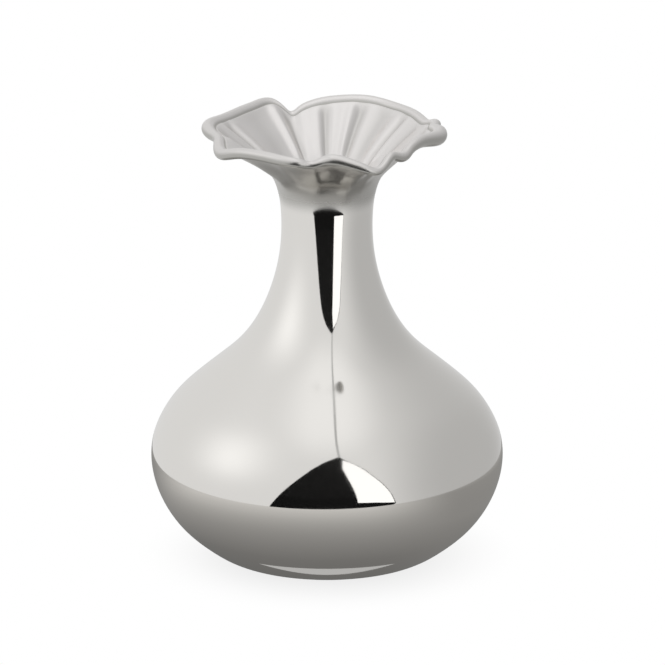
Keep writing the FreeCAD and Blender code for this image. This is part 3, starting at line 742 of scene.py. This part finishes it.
# Spans within a unit direction. The left side becomes the right one as X plus a lean of Y grows.
# The top sets in as Z grows, and fades to either side as X does.
SIDE_LEAN, SIDE_SPAN, TOP_SPAN, MIDDLE_SPAN = 0.3, (0.1, 1.0), (0.6, 1.1), (0.1, 0.5)
PATCH_DIRECTION, PATCH_POWER = (-0.84, -0.25, 0.48), 12
LAMP_SIZE, LAMP_POWER = 1.2, 5.0
LAMP_PLACE, LAMP_TURN = (-0.3, -0.25, 1.2), (-0.2, -0.24, 0)


def maths(tree, operation, *sources, kind="ShaderNodeMath"):
    """Add one maths node."""
    node = tree.nodes.new(kind)
    node.operation = operation
    return fed(tree, node, *sources)


def vector_maths(tree, operation, *sources):
    """Add one maths node that takes vectors."""
    return maths(tree, operation, *sources, kind="ShaderNodeVectorMath")


def ramped(tree, source, low, high, start=0.0, end=1.0):
    """Add a smooth step: from start below low to end above high."""
    node = tree.nodes.new("ShaderNodeMapRange")
    node.interpolation_type = "SMOOTHSTEP"
    return fed(tree, node, source, low, high, start, end)


def new_finish(name):
    """Start a material with no shader of its own, and give it, its tree and its surface."""
    material, tree = new_material(name)
    tree.nodes.remove(tree.nodes["Principled BSDF"])
    return material, tree, tree.nodes["Material Output"].inputs["Surface"]


def floor_finish():
    """Pale and diffuse, but seen as plain white, apart from a soft shadow by the vase."""
    material, tree, surface = new_finish("pale_floor")
    lit = node_of(tree, "ShaderNodeBsdfDiffuse", Color=FLOOR_COLOUR)
    glow = node_of(tree, "ShaderNodeEmission", Color=WHITE, Strength=1)
    path = tree.nodes.new("ShaderNodeLightPath")
    seen = maths(tree, "ADD", path.outputs["Is Camera Ray"],
                 maths(tree, "ADD", path.outputs["Is Glossy Ray"], path.outputs["Is Transmission Ray"]))
    distance = vector_maths(tree, "LENGTH", own_place(tree))
    white = maths(tree, "MULTIPLY", seen, ramped(tree, distance, *SHADOW_REACH, SHADOW_WHITE, 1.0))
    mix = tree.nodes.new("ShaderNodeMixShader")
    tree.links.new(fed(tree, mix, white, lit.outputs[0], glow.outputs[0]), surface)
    return material


def table_finish():
    """Glow as the two rows of shades say, blended from the lit side to the shaded side."""
    material, tree, surface = new_finish("grey_table")
    place = own_place(tree)
    share = maths(tree, "DIVIDE", vector_maths(tree, "LENGTH", place), SHADE_SPAN)
    shades = []
    for row in (LIT_SHADES, SHADED_SHADES):
        shade = tree.nodes.new("ShaderNodeValToRGB")
        steps = shade.color_ramp.elements
        steps.remove(steps[-1])
        for index, (position, grey) in enumerate(row):
            step = steps.new(position) if index else steps[0]
            step.position = position
            step.color = (*(grey * tint for tint in TABLE_TINT), 1)
        shades.append(fed(tree, shade, share))
    heading = vector_maths(tree, "NORMALIZE", place)
    shaded = ramped(tree, vector_maths(tree, "DOT_PRODUCT", heading, SHADED_DIRECTION), *SHADE_TURN)
    glow = node_of(tree, "ShaderNodeEmission", Color=blended(tree, "RGBA", shaded, *shades), Strength=1)
    tree.links.new(glow.outputs[0], surface)
    return material


def plain_finish(name, kind, **sources):
    """Make a material of one shader."""
    material, tree, surface = new_finish(name)
    tree.links.new(node_of(tree, kind, **sources).outputs[0], surface)
    return material


def glowing_finish(name, strength):
    """One plain white light."""
    return plain_finish(name, "ShaderNodeEmission", Color=WHITE, Strength=strength)


def flat_card(name, material, corners, faces=None, only_in_polish=True):
    """Make one flat stage card from its corners, as a single face unless faces are given."""
    mesh = bpy.data.meshes.new(name)
    mesh.from_pydata(corners, [], faces or [tuple(range(len(corners)))])
    mesh.materials.append(material)
    card = bpy.data.objects.new(name, mesh)
    bpy.context.scene.collection.objects.link(card)
    if only_in_polish:
        card.visible_camera = card.visible_diffuse = card.visible_shadow = False
        card.visible_transmission = False
    return card


def strip(side, other_side):
    """Give the corners and faces of a strip between two lines of equally many points."""
    here = np.arange(len(side) - 1)
    there = here + len(side)
    faces = np.stack([here, there, there + 1, here + 1], axis=1)
    return np.concatenate([side, other_side]).tolist(), faces.tolist()


def ring(inner, outer, height, centre, reach=FULL_TURN / 2, taper=0):
    """Give the corners and faces of a flat ring, as far as reach degrees from the front each way.

    With a taper of 1 it narrows to a point at both ends: inner plus width times share squared.
    """
    share = np.linspace(-1, 1, RING_STEPS + 1)[:, None]
    angle = np.radians(reach * share)
    around = np.concatenate([np.sin(angle), -np.cos(angle)], axis=1)
    narrowed = inner + (outer - inner) * taper * share ** 2
    return strip(*[np.column_stack([around * radius + centre, np.full(len(share), height)])
                   for radius in (narrowed, outer)])


floor = flat_card("floor", floor_finish(),
                  [(-FLOOR_HALF, -FLOOR_HALF, 0), (FLOOR_HALF, -FLOOR_HALF, 0),
                   (FLOOR_HALF, FLOOR_HALF, 0), (-FLOOR_HALF, FLOOR_HALF, 0)], only_in_polish=False)
# In its place the polish sees the grey table top and, beyond that, the tent.
floor.visible_glossy = False
flat_card("table_top", table_finish(), *ring(TABLE_HOLE, TABLE_RADIUS, CARD_LIFT, TABLE_CENTRE))
flat_card("pale_patch", glowing_finish("pale_patch", PALE_GLOW),
          *ring(*PALE_RADII, 2 * CARD_LIFT, PALE_CENTRE, PALE_REACH, taper=1))
flat_card("tent_opening", plain_finish("tent_opening", "ShaderNodeBsdfDiffuse", Color=OPENING_COLOUR),
          [(across, -OPENING_DISTANCE, up) for across, up in OPENING])
flat_card("opening_bright_side", glowing_finish("bright_side", BRIGHT_SIDE_GLOW),
          [(across, BRIGHT_SIDE_LEAD - OPENING_DISTANCE, up) for across, up in BRIGHT_SIDE])
seam_angle = np.linspace(0, math.pi / 2, SEAM_STEPS + 1)
seam_sides = [np.column_stack([np.linspace(*SEAM_ENDS, SEAM_STEPS + 1) + side * SEAM_HALF,
                               -OPENING_DISTANCE * np.cos(seam_angle),
                               SEAM_START + SEAM_CLIMB * np.sin(seam_angle)]) for side in (-1, 1)]
flat_card("tent_seam", glowing_finish("tent_seam", SEAM_GLOW), *strip(*seam_sides))


def light_tent():
    """Light from all round, by direction in the polish, and plain white behind the vase.

    The wall's brightness is the side's plus the top's share of the way from it to the top's. The
    patch adds its brightness times a power of the cosine to its direction.
    """
    world = bpy.data.worlds.new("light_tent")
    world.use_nodes = True
    tree = world.node_tree
    towards = tree.nodes.new("ShaderNodeTexCoord").outputs["Generated"]
    across, along, up = node_of(tree, "ShaderNodeSeparateXYZ", Vector=towards).outputs
    leaning = maths(tree, "ADD", across, maths(tree, "MULTIPLY", along, SIDE_LEAN))
    side = ramped(tree, leaning, *SIDE_SPAN, TENT_LEFT, TENT_RIGHT)
    middle = ramped(tree, maths(tree, "ABSOLUTE", across), *MIDDLE_SPAN, 1.0, 0.0)
    top = maths(tree, "MULTIPLY", middle, ramped(tree, up, *TOP_SPAN))
    rise = maths(tree, "MULTIPLY", top, maths(tree, "SUBTRACT", TENT_TOP, side))
    cosine = maths(tree, "MAXIMUM", vector_maths(tree, "DOT_PRODUCT", towards, PATCH_DIRECTION), 0)
    patch = maths(tree, "MULTIPLY", TENT_PATCH, maths(tree, "POWER", cosine, PATCH_POWER))
    sky = tree.nodes["Background"]
    sky.inputs["Color"].default_value = WHITE
    tree.links.new(maths(tree, "ADD", maths(tree, "ADD", side, rise), patch), sky.inputs["Strength"])
    backdrop = node_of(tree, "ShaderNodeBackground", Color=WHITE, Strength=1)
    seen = tree.nodes.new("ShaderNodeLightPath").outputs["Is Camera Ray"]
    choice = tree.nodes.new("ShaderNodeMixShader")
    tree.links.new(fed(tree, choice, seen, sky.outputs[0], backdrop.outputs[0]),
                   tree.nodes["World Output"].inputs["Surface"])
    return world


bpy.context.scene.world = light_tent()
lamp = bpy.data.lights.new("overhead_softbox", "AREA")
lamp.shape = "DISK"
lamp.size = LAMP_SIZE
lamp.energy = LAMP_POWER
overhead = bpy.data.objects.new("overhead_softbox", lamp)
overhead.location = LAMP_PLACE
overhead.rotation_euler = LAMP_TURN
overhead.visible_glossy = False
bpy.context.scene.collection.objects.link(overhead)
bpy.context.scene.view_settings.view_transform = "Standard"

# Camera. Three metres away and sixteen degrees above level, as in the photograph, with a long lens
# on a sensor 36 mm wide.
CAMERA_DISTANCE = 3.0
CAMERA_RISE = math.radians(16)
CAMERA_TARGET = (0.003025, 0, 0.12699)
CAMERA_LENS, SENSOR_WIDTH = 295.28, 36
lens = bpy.data.cameras.new("camera")
lens.lens = CAMERA_LENS
lens.sensor_width = SENSOR_WIDTH
camera = bpy.data.objects.new("camera", lens)
camera.location = (CAMERA_TARGET[0], CAMERA_TARGET[1] - CAMERA_DISTANCE * math.cos(CAMERA_RISE),
                   CAMERA_TARGET[2] + CAMERA_DISTANCE * math.sin(CAMERA_RISE))
camera.rotation_euler = (math.pi / 2 - CAMERA_RISE, 0, 0)
bpy.context.scene.collection.objects.link(camera)
bpy.context.scene.camera = camera
